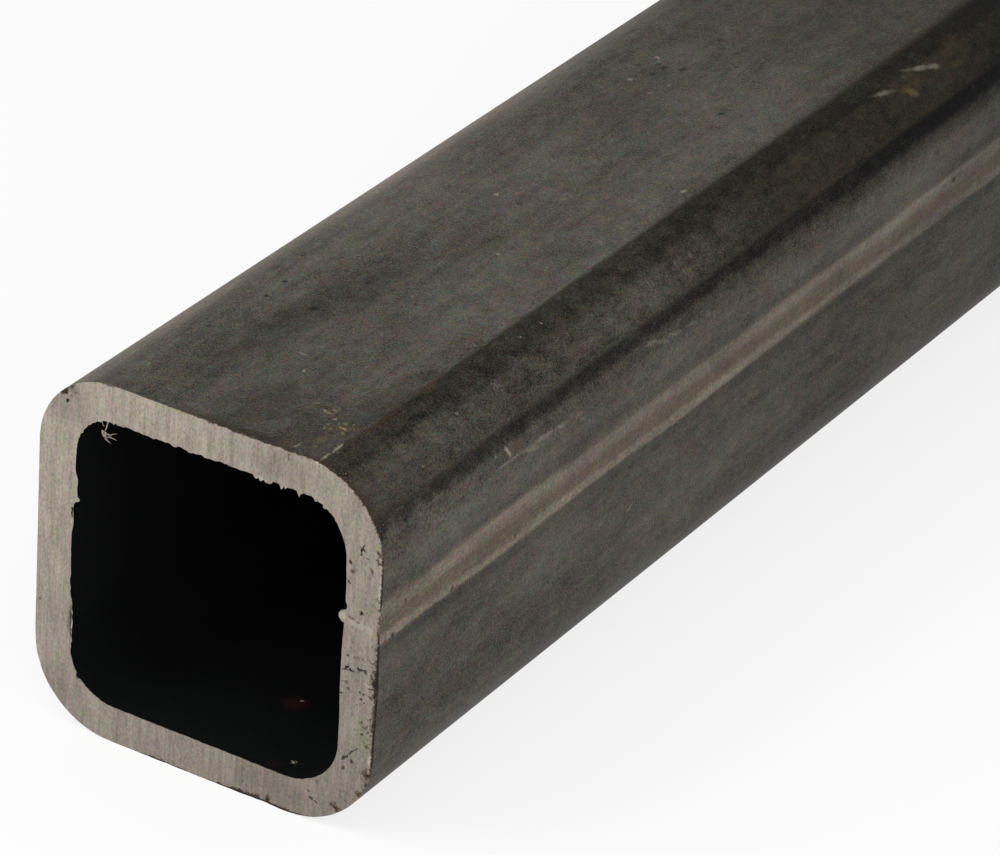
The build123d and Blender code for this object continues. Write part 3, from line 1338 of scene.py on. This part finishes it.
@dataclass(frozen=True)
class SawnSteel(Coat):
    """Bare steel as a saw leaves it: fine upright lines, rust pits and stained edges.

    Its marks are placed by their x and z from the tube's axis, in millimetres.
    """

    name: str = "sawn_steel"
    bare: Tone = (155, 146, 135)
    pink: Tone = (164, 143, 137)
    green: Tone = (147, 146, 123)
    rust: Tone = (84, 62, 46)
    black: Tone = (30, 27, 24)
    bright: Tone = (190, 182, 168)
    yellow: Tone = (158, 146, 96)
    # a painted shade: the face darker towards its lower weld side
    tone_down_x: float = 0.0037
    tone_up_z: float = 0.0052
    lines: Pattern = Pattern(0.45, (1.0, 0.1, 0.06), 2.0, 0.6)
    broad_lines: Pattern = Pattern(1.5, (1.0, 0.1, 0.2), 2.0, 0.6)
    hue: Pattern = Pattern(1.3, (1.0, 0.1, 0.3), 3.0, 0.7)
    grain: Pattern = Pattern(0.33, (1.0, 1.0, 0.6), 2.0, 0.7)
    speck: Pattern = Pattern(0.65, None, 3.0, 0.75)
    line_depth: float = 0.16
    broad_depth: float = 0.17
    grain_depth: float = 0.26
    # the line from (-25.0, -17.0) to (-25.05, -8.6) is painted shade in the slit of the left wall; the rest
    # are pits, rust and dark fringes
    dark_marks: tuple[Mark, ...] = marks(
        (25.9, -18.7, 27.5, -16.9, 0.5, 0.9), (27.2, -17.3, 28.5, -15.6, 0.45, 0.9),
        (28.0, -15.9, 29.3, -15.3, 0.4, 0.8), (20.4, -27.3, 21.7, -27.6, 0.5, 0.8),
        (21.3, -27.4, 22.4, -28.1, 0.5, 0.8), (-25.0, -17.0, -25.05, -8.6, 0.5),
        (-25.1, 8.4, -25.4, 5.8, 0.6), (-28.2, 27.5, -26.4, 28.5, 1.7),
        (-26.8, 28.7, -25.2, 29.7, 1.0, 0.8), (-26.6, 27.0, -26.6, 25.9, 0.75),
        (-21.0, 31.7, -17.6, 31.75, 0.7, 0.7), (-25.9, 27.5, 0.5, 0.5), (-25.0, 28.2, 0.45, 0.5),
        (-24.6, 27.2, 0.4, 0.4), (25.6, -2.6, 26.6, -1.0, 0.7), (26.4, -1.8, 27.6, -2.1, 0.6),
        (28.0, -1.0, 28.6, -1.7, 0.6), (28.2, -1.3, 29.6, -1.2, 0.55, 0.9),
        (29.3, -0.9, 29.9, -1.8, 0.5, 0.9), (30.3, -1.4, 31.2, -2.2, 0.6, 0.8),
        (31.4, -2.2, 31.8, -3.6, 0.9), (30.0, -4.1, 31.6, -4.1, 0.5, 0.8), (28.8, -5.3, 0.5, 0.9),
        (29.4, -5.4, 0.5, 0.8), (28.9, -6.3, 29.3, -6.6, 0.5, 0.9), (29.6, -7.0, 0.4, 0.8),
        (28.3, -7.7, 0.5, 0.6), (26.0, -2.0, 26.6, -2.3, 0.4, 0.9), (25.3, -2.4, 25.7, -2.0, 0.4, 0.8),
        (27.4, 0.4, 0.4, 0.7), (27.4, 18.9, 27.9, 18.6, 0.5, 0.9), (28.7, 18.5, 29.2, 18.1, 0.5, 0.6),
        (29.7, 17.0, 29.9, 16.0, 0.5, 0.7), (30.5, 20.4, 31.4, 19.4, 0.6, 0.8),
        # the marks at z -31.8 darken the face along its bottom edge
        (9.4, -31.8, 9.6, -30.6, 0.5, 0.9), (6.2, -31.8, 6.8, -31.0, 0.9, 0.9),
        (8.2, -31.7, 9.0, -31.2, 0.8, 0.8), (10.4, -31.8, 11.0, -30.8, 0.6, 0.8),
        (11.8, -31.7, 14.6, -31.5, 0.8, 0.9), (28.3, 20.6, 27.4, 18.6, 0.6),
        (27.3, 20.0, 28.5, 19.3, 0.5, 0.9), (29.4, 17.2, 30.1, 15.4, 0.4, 0.7),
        (30.3, 20.6, 30.8, 19.4, 0.6, 0.8), (12.9, -31.7, 13.2, -30.4, 0.7, 0.9),
        (11.4, 31.6, 11.6, 27.8, 0.35, 0.35), (13.7, 31.8, 14.1, 29.8, 0.4, 0.5), (28.3, 8.6, 1.1),
        (25.8, 16.7, 0.7, 0.9), (25.8, 13.2, 0.7, 0.8), (26.3, 0.4, 0.6, 0.8), (28.2, 0.6, 0.6, 0.7),
        (25.4, -6.6, 0.6, 0.8), (29.3, -10.5, 0.7, 0.8), (29.6, -11.2, 0.6, 0.8), (29.5, -12.5, 0.7, 0.8),
        (30.6, -12.0, 0.7, 0.7), (28.0, -18.1, 0.7, 0.9), (26.5, -19.8, 0.9, 0.7), (20.5, -26.4, 0.8, 0.6),
        (21.9, -24.2, 0.9, 0.4), (-30.9, -10.6, 0.6, 0.7),
    )
    rust_marks: tuple[Mark, ...] = marks(
        (26.4, 15.2, 1.1, 0.9), (-25.5, 28.4, 1.8, 0.3), (26.3, 7.1, 0.9, 0.7), (26.8, 7.0, 0.7, 0.6),
        (27.7, 6.7, 0.7, 0.6), (26.0, -4.0, 26.5, -4.7, 0.6, 0.8), (26.3, -5.1, 27.0, -5.7, 0.7, 0.7),
        (30.5, -5.0, 31.0, -6.2, 0.7, 0.8), (30.3, -13.9, 30.7, -14.9, 0.9, 0.9),
        (30.4, -18.4, 31.0, -20.8, 0.8), (29.3, -23.0, 29.7, -24.2, 0.7), (24.4, -26.8, 25.1, -27.4, 0.9),
        (25.2, -27.6, 26.2, -27.9, 0.7, 0.9), (29.6, -1.4, 1.4, 0.3), (12.9, -31.6, 13.2, -29.6, 0.9, 0.8),
    )
    # painted highlights along edges of the face and on the bead's end, and the pale line of the weld across
    # the face
    highlights_and_weld_line: tuple[Mark, ...] = marks(
        (24.9, 6.9, 1.8, 0.6), (25.2, 6.6, 31.4, 6.0, 1.6, 0.35), (17.4, 31.9, 20.6, 31.3, 0.8),
        (31.3, 17.0, 31.5, 9.0, 0.6), (31.3, -15.0, 31.0, -18.0, 0.6, 0.8),
        (-24.7, -17.0, -24.6, -9.0, 0.5, 0.8), (8.2, 25.3, 10.6, 25.0, 0.9, 0.6),
    )
    yellow_marks: tuple[Mark, ...] = marks(
        (30.3, 20.9, 1.6, 0.35), (31.0, 5.6, 1.6, 0.4), (-8.0, 31.7, -3.0, 31.7, 0.7, 0.7),
    )
    tarnishes: tuple[Mark, ...] = marks(
        (-30.5, 22.0, -22.0, 30.5, 12.0, 0.27), (-31.0, -20.0, -22.0, -31.0, 12.0, 0.14),
        (5.0, -28.5, 23.0, -28.5, 10.0, 0.14), (4.0, 28.5, 21.0, 28.5, 9.0, 0.2),
        (-28.5, -4.0, -28.5, -20.0, 9.0, 0.07),
    )

    def sockets(self, g: Graph) -> dict[str, Value]:
        """Draws the saw's lines up the face, then its painted shade and tarnish, its marks and its stains.

        Towards its lower weld side the face is a little darker, a painted shade, as
        1 - tone_down_x * x + tone_up_z * z. The marks are on the near end alone.

        Args:
            g: the tree that the nodes go into.

        Returns:
            The varying colour, roughness, metal and normal, and the specular level.
        """
        solid = g.object_place()
        x, y, z = g.split(solid)
        patterns = (self.lines, self.broad_lines, self.hue, self.grain, self.speck)
        lines, broad, hue, grain, speck = (pattern.on(g, solid) for pattern in patterns)

        colour = g.mix(g.step(hue, 0.0, 1.0), linear(self.bare), linear(self.pink))
        colour = g.mix(g.step(hue, 0.0, -1.0), colour, linear(self.green))
        near = g.step(y, 0.0, -100.0)
        flat = g.join(x, z, 0.0)
        # painted shade, darker towards the lower weld side, times the tarnish near the rim
        shade_and_tarnish = 1.0 - self.tone_down_x * x + self.tone_up_z * z
        shade_and_tarnish = shade_and_tarnish * (1.0 - gather(g, flat, self.tarnishes, 0.8) * near)
        cut = 1.0 + self.line_depth * lines + self.broad_depth * broad + self.grain_depth * grain
        colour = g.scaled(colour, cut * shade_and_tarnish)
        stray = g.stray(solid, 0.6)
        colour = g.tinted(colour, stray, 0.45)
        flat = g.frayed(flat, stray, 0.9)
        eaten = near * (0.95 - 0.35 * g.step(grain + speck, 0.2, 1.4))
        groups = (
            (self.yellow_marks, self.yellow),
            # painted highlights, with the pale weld line
            (self.highlights_and_weld_line, self.bright),
            (self.rust_marks, self.rust),
            (self.dark_marks, self.black),
        )
        for group, tone in groups:
            colour = g.mix(gather(g, flat, group) * eaten, colour, linear(tone))
        attacked = speck + g.stain()
        rusted = g.step(attacked, 0.95, 1.3)
        colour = g.mix(rusted * 0.9, colour, linear(self.rust))
        colour = g.mix(g.step(attacked, 1.4, 1.9), colour, linear(self.black))
        return {
            "Base Color": colour,
            "Roughness": 0.42 + 0.05 * lines + 0.2 * rusted,
            "Metallic": 1.0 - 0.85 * rusted,
            "Specular IOR Level": 0.2,
            "Normal": g.bump(0.006 * lines + 0.004 * grain),
        }


@dataclass(frozen=True)
class BoreFleck:
    """A round spot in the bore: its middle from the tube's middle, its radius and its tone."""

    middle: Triple
    radius: float
    tone: Tone


@dataclass(frozen=True)
class BoreScaleAndShade(Coat):
    """The bore's scale: nearly black, rough, with a little rust low down. Its near-black is partly the
    scale's own colour and partly painted shade of the deep bore.
    """

    name: str = "bore_scale_and_shade"
    # near-black: the scale's own dark colour together with painted shade of the bore
    black: Tone = (11, 12, 12)
    rust: Tone = (40, 22, 16)
    grain: Pattern = Pattern(0.7, None, 2.0, 0.6)
    patches: Pattern = Pattern(9.0, (1.0, 0.4, 1.0), 3.0, 0.6)
    flecks: tuple[BoreFleck, ...] = (
        BoreFleck((5.6, -133.8, -25.4), 2.8, (36, 21, 17)),
        BoreFleck((6.1, -132.6, -25.4), 0.25, (150, 130, 118)),
        BoreFleck((12.6, -150.6, -25.4), 1.6, (20, 13, 11)),
        BoreFleck((15.1, -148.4, -25.4), 0.45, (170, 160, 146)),
    )

    def sockets(self, g: Graph) -> dict[str, Value]:
        """Lays patches of rust and a few flecks over the black.

        Args:
            g: the tree that the nodes go into.

        Returns:
            The varying colour and normal, the roughness and the specular level.
        """
        solid = g.object_place()
        grain = self.grain.on(g, solid)
        patches = g.step(self.patches.on(g, solid), 0.7, 1.6)
        colour = g.mix(patches * 0.5, linear(self.black), linear(self.rust))
        colour = g.scaled(colour, 1.0 + 0.25 * grain)
        for fleck in self.flecks:
            away = g.vector("DISTANCE", solid, fleck.middle, output="Value") + 0.4 * grain
            colour = g.mix(g.step(away, fleck.radius, fleck.radius / 3), colour, linear(fleck.tone))
        return {
            "Base Color": colour,
            "Roughness": 0.75,
            "Specular IOR Level": 0.12,
            "Normal": g.bump(0.012 * grain),
        }


@dataclass(frozen=True)
class BurrSteel(Coat):
    """Torn bright steel: the burr on a lip and the swarf that hangs from it."""

    name: str = "burr_steel"
    bright: Tone = (158, 146, 130)
    rust: Tone = (84, 56, 46)
    grain: Pattern = Pattern(0.3, None, 2.0, 0.6)
    stains: Pattern = Pattern(0.9, None, 2.0, 0.6)

    def sockets(self, g: Graph) -> dict[str, Value]:
        """Stains the bright steel with rust.

        Args:
            g: the tree that the nodes go into.

        Returns:
            The varying colour, roughness and normal, and how metallic it is.
        """
        solid = g.object_place()
        grain = self.grain.on(g, solid)
        stained = g.step(self.stains.on(g, solid), 0.2, 0.8) * 0.7
        colour = g.mix(stained, linear(self.bright), linear(self.rust))
        return {
            "Base Color": g.scaled(colour, 1.0 + 0.12 * grain),
            "Roughness": 0.45 + 0.1 * grain,
            "Metallic": 0.9,
            "Normal": g.bump(0.02 * grain),
        }


# ---------------------------------------------------------------- the tube


@dataclass(frozen=True)
class Island:
    """A rectangle of the bake map, from one corner (u, v) to the other."""

    low: Pair
    high: Pair

    def place(self, across: np.ndarray, along: np.ndarray | float) -> np.ndarray:
        """Works out map coordinates.

        Args:
            across: fractions of the rectangle's width.
            along: fractions of its height, one for all or one for each.

        Returns:
            The coordinates: (fractions, 2).
        """
        span = (self.high[0] - self.low[0], self.high[1] - self.low[1])
        along = np.broadcast_to(along, across.shape)
        return np.stack([self.low[0] + span[0] * across, self.low[1] + span[1] * along], axis=1)


NEAR_CUT = CutEnd(
    y=-152.4,
    inward=1.0,
    seed=11,
    edge_break=0.06,
    nicks=(
        Nick(-26.9, 28.3, 0.7, 0.5), Nick(11.5, -31.7, 2.5, 0.15), Nick(30.9, -19.5, 1.2, 0.4),
        Nick(29.0, -24.0, 1.2, 0.35), Nick(25.7, -27.4, 1.5, 0.3), Nick(31.7, -6.0, 7.0, 0.3),
    ),
    stains=(
        # the patches at z -31 to -32 darken the face along its bottom edge
        Stain(32.0, -4.0, 12.0, 2.7, 0.42), Stain(32.5, 12.0, 8.0, 1.5, 0.3),
        Stain(30.5, -21.0, 8.0, 1.9, 0.35), Stain(26.0, 26.0, 10.0, 2.0, 0.3),
        Stain(6.0, 32.0, 14.0, 2.0, 0.25), Stain(10.3, -32.0, 6.0, 3.4, 0.7),
        Stain(-7.5, -32.0, 4.0, 2.6, 0.35), Stain(20.0, -31.0, 8.0, 2.4, 0.3),
        Stain(2.0, -32.0, 16.0, 1.2, 0.25), Stain(-27.0, 28.5, 0.8, 1.6),
        Stain(31.2, -2.8, 0.8, 0.7), Stain(30.6, -19.4, 0.7, 1.1), Stain(29.4, -23.5, 0.6, 1.1),
        Stain(25.6, -27.4, 0.9, 1.1), Stain(28.3, -1.0, 8.0, 0.55), Stain(28.8, -12.0, 7.0, 0.5),
        Stain(28.5, 14.0, 7.0, 0.45), Stain(26.5, -24.0, 7.0, 0.5), Stain(30.6, 18.5, 1.3, 0.8),
    ),
    lips=(
        Lip((-1, 0), 0.06, 0.22, (
            Lump(-22.1, 0.35, -0.7), Lump(-13.2, 5.2, 0.5), Lump(7.8, 3.6, 0.3),
            Lump(9.6, 0.45, 0.6), Lump(11.6, 2.4, 0.75), Lump(16.5, 4.0, 0.5),
        )),
        Lip((0, 1), -0.22, 0.36, (
            Lump(-12.5, 5.0, 0.08), Lump(-3.8, 0.4, 0.3), Lump(8.3, 0.45, 0.5), Lump(9.2, 0.35, 0.8),
            Lump(10.2, 0.5, 0.65), Lump(11.0, 0.35, 0.45), Lump(13.0, 0.3, 0.65), Lump(13.6, 0.2, 0.5),
            Lump(16.1, 0.2, 0.7), Lump(16.4, 0.5, 0.25), Lump(19.1, 0.3, 0.3), Lump(20.8, 0.3, 0.3),
        )),
        Lip((1, 0), lumps=(Lump(-2.0, 7.0, 0.22), Lump(8.8, 0.6, -0.3), Lump(18.5, 4.5, 0.22))),
        Lip((0, -1), teeth=0.14),
    ),
    slit=(-16.4, -9.2),
)
FAR_CUT = CutEnd(y=152.4, inward=-1.0, seed=29)


@dataclass
class SquareTube:
    """The length of tube: two long skins, two sawn ends and the swarf on the near one."""

    length: float = 304.8
    end_run: float = 5.0  # how far from each cut the long rows stop
    long_rows: int = 100
    bore_rows: int = 56
    sharp_angle: float = 32.0
    section: Section = field(default_factory=Section)
    near: CutEnd = NEAR_CUT
    far: CutEnd = FAR_CUT
    curls: tuple[Curl, ...] = (
        Curl((-20.3, -0.2, 25.6), (-20.2, 0.05, 24.4), (-19.5, 0.1, 24.3), 0.22),
        Curl((-19.1, -0.2, 25.6), (-19.0, 0.2, 24.4), (-19.6, 0.1, 23.2), 0.3),
        Curl((-19.8, 0.1, 23.6), (-20.1, 0.2, 22.9), (-19.0, 0.3, 22.3), 0.45),
        Curl((-19.5, 0.0, 23.0), (-18.9, 0.1, 23.3), (-18.2, 0.1, 23.0), 0.45),
        Curl((-19.2, 0.2, 23.5), (-19.5, 0.4, 22.9), (-18.7, 0.4, 22.5), 0.42),
        Curl((-19.0, 0.1, 22.7), (-18.0, 0.4, 23.1), (-17.0, 0.3, 22.8), 0.26),
        Curl((-19.3, 0.3, 22.4), (-18.6, 0.5, 22.3), (-18.0, 0.4, 21.9), 0.28),
        Curl((-18.5, 0.2, 23.1), (-17.9, 0.3, 23.8), (-17.0, 0.2, 23.9), 0.16),
    )
    outer_island: Island = Island((0.004, 0.09), (0.700, 0.996))
    bore_island: Island = Island((0.712, 0.09), (0.996, 0.996))
    near_island: Island = Island((0.004, 0.047), (0.960, 0.081))
    far_island: Island = Island((0.004, 0.004), (0.960, 0.038))
    curl_island: Island = Island((0.968, 0.004), (0.998, 0.081))

    def build(self) -> bpy.types.Object:
        """Makes the tube's mesh as one closed chain of rows, and its swarf.

        The chain runs along the outside from the near cut, over the far end, back
        through the bore and over the near end.

        Returns:
            The tube's object, in its finishes.
        """
        writer = MeshWriter(NODE + "_steel")
        fine = self.section.walk()
        coarse = fine.coarse
        near_skin, near_face, near_lip = self._end_rows(writer, self.near, fine)
        far_skin, far_face, far_lip = self._end_rows(writer, self.far, fine)
        reach = self.length / 2 - self.end_run
        there, back = np.linspace(-reach, reach, self.long_rows), np.linspace(reach, -reach, self.bore_rows)
        outside = [writer.row(self.section.outer(coarse, y)) for y in there]
        bore = [writer.row(self.section.inner(coarse, y)) for y in back]

        self._skin(writer, near_skin + outside + far_skin[::-1], self.outer_island, Finish.MILL_SCALE)
        self._face(writer, [far_skin[0], *far_face, far_lip[0]], self.far_island)
        self._skin(writer, far_lip[:2], self.bore_island, Finish.BURR_STEEL)
        self._skin(writer, far_lip[1:] + bore + near_lip[:0:-1], self.bore_island, Finish.BORE_SCALE)
        self._skin(writer, near_lip[1::-1], self.bore_island, Finish.BURR_STEEL)
        self._face(writer, [near_lip[0], *near_face[::-1], near_skin[0]], self.near_island)
        self._swarf(writer)
        piece = writer.build(self.sharp_angle)
        for finish in (MillScale(), SawnSteel(), BoreScaleAndShade(), BurrSteel()):
            piece.data.materials.append(finish.build())
        return piece

    def _end_rows(
        self, writer: MeshWriter, end: CutEnd, fine: Walk
    ) -> tuple[list[Row], list[Row], list[Row]]:
        """Adds an end's rows, with how stained they are.

        Args:
            writer: the mesh that the rows go into.
            end: the cut end.
            fine: the fine columns.

        Returns:
            The rows of its skin, of its face and of its lip.
        """
        groups = (end.skin_rows, end.face_rows, end.lip_rows)
        section = self.section
        skin, face, lip = ([writer.row(p, end.stain(p)) for p in rows(section, fine)] for rows in groups)
        return skin, face, lip

    def _surface(self, row: Row) -> np.ndarray:
        """The surface map of a row: its girth, and its length from the near cut."""
        length = row.points[:, 1] - self.near.y
        return np.stack([self.section.girth(row.points), np.append(length, length[0])], axis=1)

    @staticmethod
    def _join(
        writer: MeshWriter,
        rows: list[Row],
        surface: list[np.ndarray],
        bake: list[np.ndarray],
        finish: Finish,
    ) -> None:
        """Joins each row to the next.

        Args:
            writer: the mesh that the faces go into.
            rows: the rows, in order.
            surface: each row's coordinates on the surface map.
            bake: each row's coordinates on the bake map.
            finish: what the faces are finished in.
        """
        for low in range(len(rows) - 1):
            maps = {"surface": tuple(surface[low : low + 2]), "OFBake": tuple(bake[low : low + 2])}
            writer.band(rows[low], rows[low + 1], maps, finish)

    def _skin(self, writer: MeshWriter, rows: list[Row], island: Island, finish: Finish) -> None:
        """Joins rows along the tube, mapped by their columns and their length.

        Args:
            writer: the mesh that the faces go into.
            rows: the rows, in order.
            island: where they go on the bake map.
            finish: what the faces are finished in.
        """
        surface = [self._surface(row) for row in rows]
        bake = [
            island.place(np.arange(len(row) + 1) / len(row), (placed[:, 1] + 1.0) / (self.length + 2.0))
            for row, placed in zip(rows, surface)
        ]
        self._join(writer, rows, surface, bake, finish)

    def _face(self, writer: MeshWriter, rows: list[Row], island: Island) -> None:
        """Joins rows across an end, mapped by their columns and their place in the list.

        Args:
            writer: the mesh that the faces go into.
            rows: the rows, in order.
            island: where they go on the bake map.
        """
        across = np.arange(len(rows[0]) + 1) / len(rows[0])
        bake = [island.place(across, along) for along in np.linspace(0.0, 1.0, len(rows))]
        self._join(writer, rows, [self._surface(row) for row in rows], bake, Finish.SAWN_STEEL)

    def _swarf(self, writer: MeshWriter) -> None:
        """Adds each curl as a closed sliver, with a cell of its own in the bake map.

        The sliver's side fills the cell's first part across, and its two ends are
        small rounds beside it.

        Args:
            writer: the mesh that the slivers go into.
        """
        fill, end_middle, end_half = 0.8, 0.92, 0.06
        cell = fill / len(self.curls)
        for number, curl in enumerate(self.curls):
            rows = [writer.row(points) for points in curl.rows(self.near.y)]
            sides = len(rows[0])
            low = number / len(self.curls)
            across = np.arange(sides + 1) / sides * fill
            alongs = low + cell * np.arange(len(rows)) / (len(rows) - 1)
            bake = [self.curl_island.place(across, along) for along in alongs]
            flat = [np.zeros((sides + 1, 2)) for _ in rows]
            self._join(writer, rows, flat, bake, Finish.BURR_STEEL)
            angle = np.arange(sides) * 2 * np.pi / sides
            for row, backwards, spot in ((rows[0], True, 0.25), (rows[-1], False, 0.75)):
                placed = self.curl_island.place(
                    end_middle + end_half * np.cos(angle), low + cell * (spot + 2 * end_half * np.sin(angle))
                )
                maps = {"surface": flat[0][:sides], "OFBake": placed}
                writer.cap(row, maps, Finish.BURR_STEEL, backwards)


# ---------------------------------------------------------------- the studio


@dataclass(frozen=True)
class Lamp:
    """A square lamp at a place in metres, turned to the near half of the tube."""

    name: str
    place: Triple
    power: float
    size: float = 0.6
    aim: Triple = (0.0, -0.1, 0.03)

    def hang(self) -> None:
        """Makes the lamp, which leaves no reflection of its own."""
        data = bpy.data.lights.new(self.name, "AREA")
        data.shape = "SQUARE"
        data.size = self.size
        data.energy = self.power
        lamp = bpy.data.objects.new(self.name, data)
        turn = (Vector(self.aim) - Vector(self.place)).to_track_quat("-Z", "Y").to_matrix().to_4x4()
        lamp.matrix_world = Matrix.Translation(self.place) @ turn
        lamp.visible_glossy = False
        bpy.context.scene.collection.objects.link(lamp)


@dataclass(frozen=True)
class Studio:
    """A pale floor, soft light and a long lens that looks down on the near end.

    The camera stands the given number of tube sides away from the near end's
    middle, and to the right of it and above it in its own view.
    """

    side: float = 63.5
    azimuth: float = 30.007
    elevation: float = 29.239
    roll: float = 3.919
    aim_right: float = 0.7141
    aim_up: float = 0.4239
    distance: float = 13.732
    focal_pixels: float = 5675.0
    image_width: float = 1000.0
    sensor: float = 36.0
    floor_half: float = 8.0
    floor_tone: float = 0.93
    floor_glow: float = 0.8
    world_strength: float = 0.5
    lamps: tuple[Lamp, ...] = (Lamp("key", (-0.42, -0.55, 0.7), 4.7), Lamp("fill", (0.62, -0.5, 0.45), 2.6))

    def build(self) -> None:
        """Makes the camera, the floor, the world and the lamps, and sets the view."""
        scene = bpy.context.scene
        scene.view_settings.view_transform = "Standard"
        scene.camera = self._camera()
        self._floor()
        self._world()
        for lamp in self.lamps:
            lamp.hang()

    def _camera(self) -> bpy.types.Object:
        """Sets the camera by its turn about the near end's centre.

        Its back axis points from the object at the given azimuth and elevation; its
        right and up axes are then rolled about that axis.

        Returns:
            The camera's object, linked to the scene.
        """
        azimuth, elevation, roll = np.radians((self.azimuth, self.elevation, self.roll)).tolist()
        share = math.cos(elevation)
        back = Vector((math.sin(azimuth) * share, -math.cos(azimuth) * share, math.sin(elevation)))
        level = Vector((math.cos(azimuth), math.sin(azimuth), 0.0))
        upright = back.cross(level)
        right = math.cos(roll) * level + math.sin(roll) * upright
        up = math.cos(roll) * upright - math.sin(roll) * level
        data = bpy.data.cameras.new("camera")
        data.sensor_fit = "HORIZONTAL"
        data.sensor_width = self.sensor
        data.lens = self.focal_pixels * self.sensor / self.image_width
        camera = bpy.data.objects.new("camera", data)
        low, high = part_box(NODE)
        centre = Vector(((low.x + high.x) / 2, low.y, (low.z + high.z) / 2))
        offset = self.aim_right * right + self.aim_up * up + self.distance * back
        turn = Matrix((right, up, back)).transposed().to_4x4()
        camera.matrix_world = Matrix.Translation(centre + offset * self.side * MM) @ turn
        bpy.context.scene.collection.objects.link(camera)
        return camera

    def _floor(self) -> None:
        """Lays a white floor that keeps the tube's soft shadow."""
        half = self.floor_half
        mesh = bpy.data.meshes.new("floor")
        corners = [(-half, -half, 0.0), (half, -half, 0.0), (half, half, 0.0), (-half, half, 0.0)]
        mesh.from_pydata(corners, [], [(0, 1, 2, 3)])
        floor = bpy.data.objects.new("floor", mesh)
        bpy.context.scene.collection.objects.link(floor)
        material = bpy.data.materials.new("studio_floor")
        material.use_nodes = True
        g = Graph(material.node_tree)
        matt = g.node("ShaderNodeBsdfDiffuse", {}, {"Color": (*(self.floor_tone,) * 3, 1.0)})
        white = g.node("ShaderNodeEmission", {}, {"Color": WHITE, "Strength": 1.0})
        shown = self._shown(g) * self.floor_glow
        self._blend(g, shown, matt, white, "ShaderNodeOutputMaterial")
        mesh.materials.append(material)

    def _world(self) -> None:
        """Surrounds the scene with white that lights it a little less than it shows."""
        world = bpy.data.worlds.new("studio")
        world.use_nodes = True
        bpy.context.scene.world = world
        g = Graph(world.node_tree)
        light = g.node("ShaderNodeBackground", {}, {"Color": WHITE, "Strength": self.world_strength})
        white = g.node("ShaderNodeBackground", {}, {"Color": WHITE, "Strength": 1.0})
        self._blend(g, self._shown(g), light, white, "ShaderNodeOutputWorld")

    @staticmethod
    def _shown(g: Graph) -> Signal:
        """Tells the rays that show the background from those that light the tube.

        Args:
            g: the tree that the nodes go into.

        Returns:
            1 for rays from the camera, off metal or through glass, else 0.
        """
        path = g.node("ShaderNodeLightPath")
        names = ("Is Camera Ray", "Is Glossy Ray", "Is Transmission Ray")
        camera, glossy, passed = (g.read(path, name) for name in names)
        return camera | glossy | passed

    @staticmethod
    def _blend(g: Graph, share: Signal, first: bpy.types.Node, second: bpy.types.Node, output: str) -> None:
        """Gives the tree a surface that is two shaders, mixed by a share."""
        mixed = g.node("ShaderNodeMixShader", {}, {0: share, 1: g.read(first), 2: g.read(second)})
        g.node(output, {}, {"Surface": g.read(mixed)})


def main() -> None:
    """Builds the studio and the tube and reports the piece."""
    logging.basicConfig(level=logging.INFO, format="%(name)s: %(message)s")
    Studio().build()
    tube = SquareTube().build()
    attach(tube, "root")
    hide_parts(NODE)
    triangles = sum(len(face.vertices) - 2 for face in tube.data.polygons)
    LOG.info("%s: %d triangles, finishes %s", tube.name, triangles, [m.name for m in tube.data.materials])


if __name__ == "__main__":
    main()
